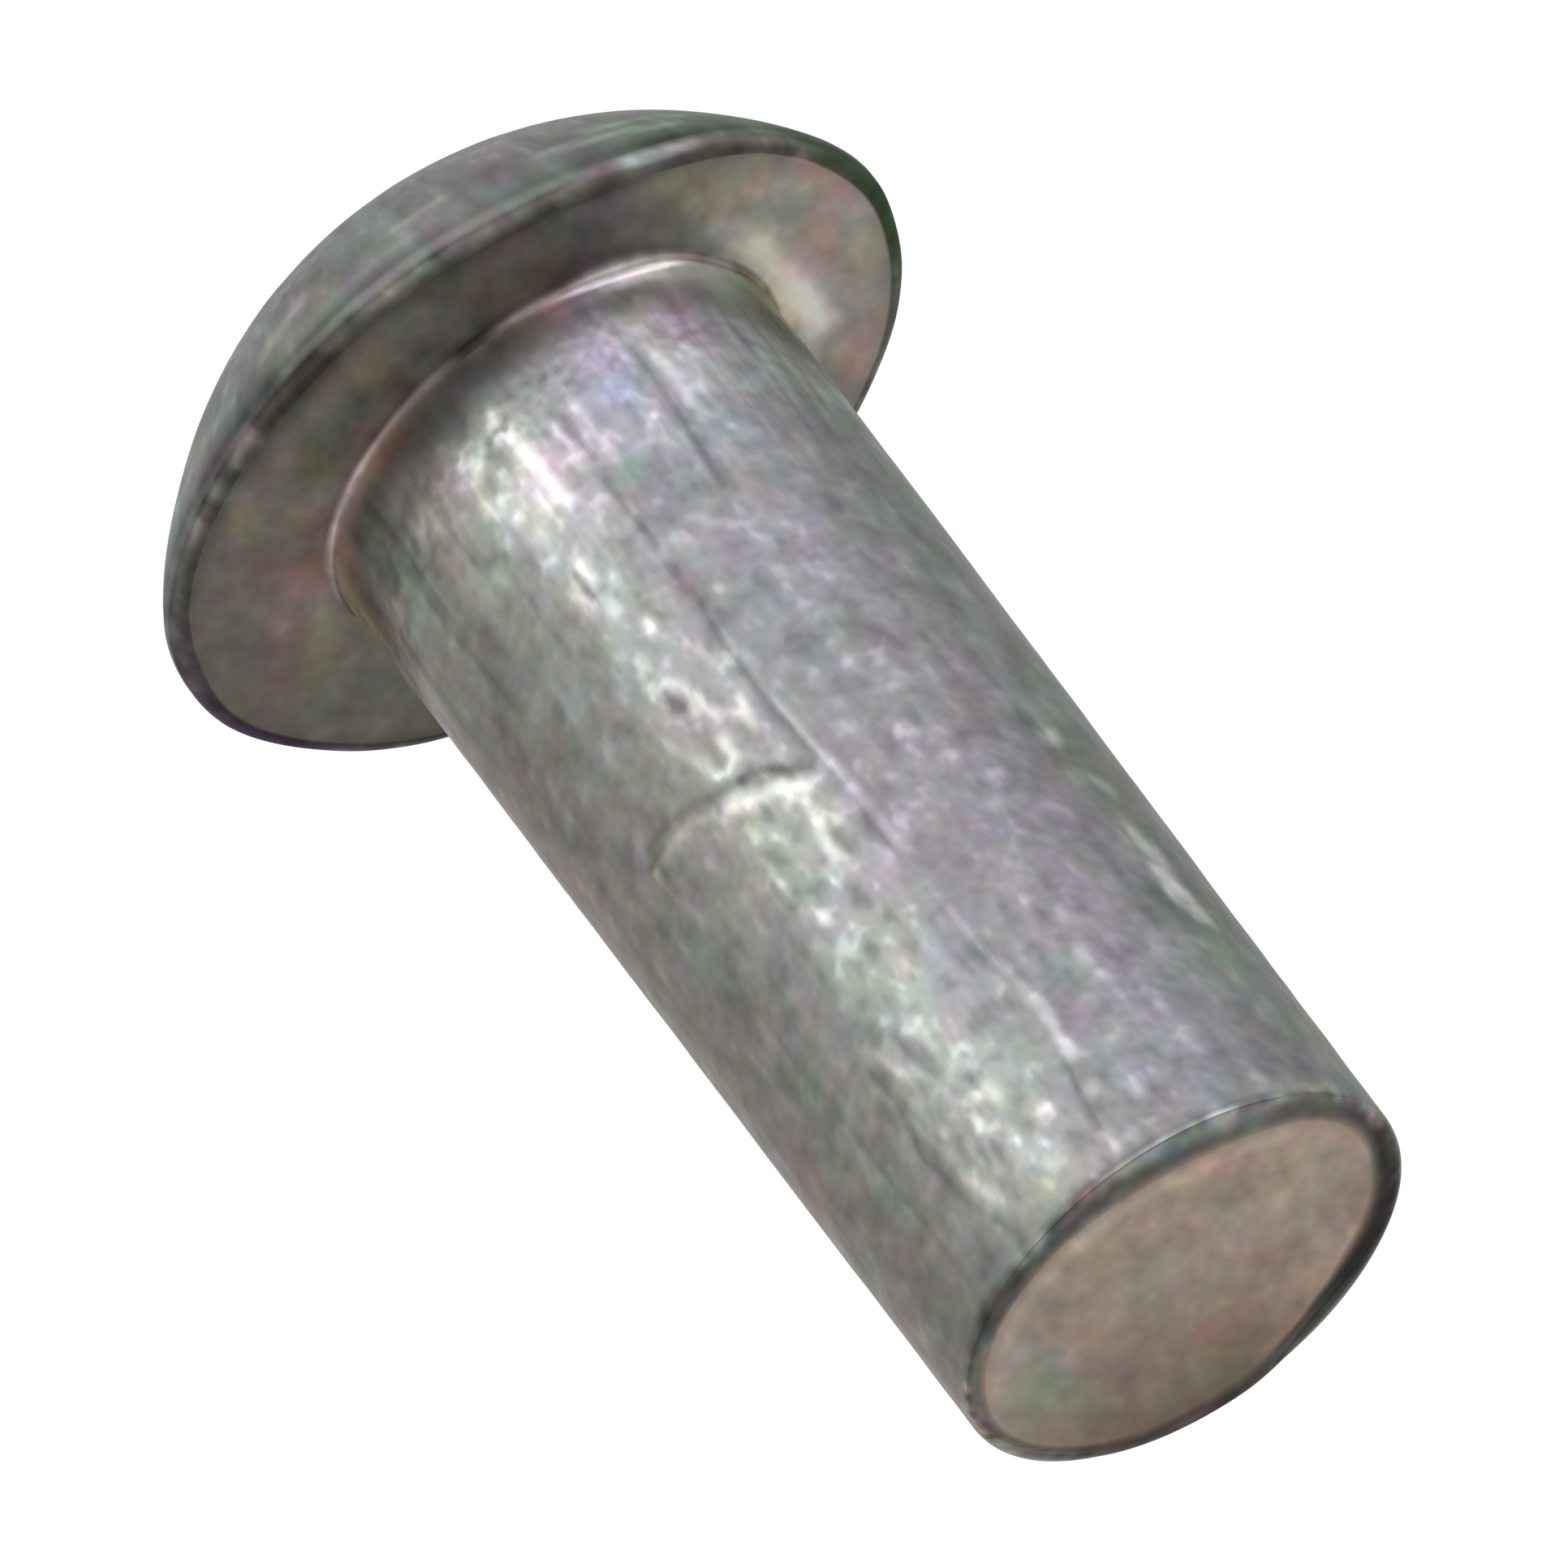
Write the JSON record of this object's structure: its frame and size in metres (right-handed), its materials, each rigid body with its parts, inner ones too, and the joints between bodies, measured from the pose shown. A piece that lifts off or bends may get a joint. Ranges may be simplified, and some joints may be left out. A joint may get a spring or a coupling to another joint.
{
  "type": "round head rivet",
  "caption": "Solid round head rivet with a low domed head, a flat bearing face and a plain straight shank, for riveting plates permanently together.",
  "frame": {"origin": "centre of the flat end of the shank, on which the rivet stands", "axes": "+Z along the shank's axis from its free end to the crown of the head; the rivet is round about Z, so X and Y are free"},
  "size_m": [0.0098, 0.0098, 0.0172],
  "materials": {
    "aluminium": "as cold headed: bright mottled shank with draw lines, dull grey-brown bearing face and sheared end"
  },
  "bodies": {
    "root": {"rivet": "aluminium"}
  },
  "joints": []
}
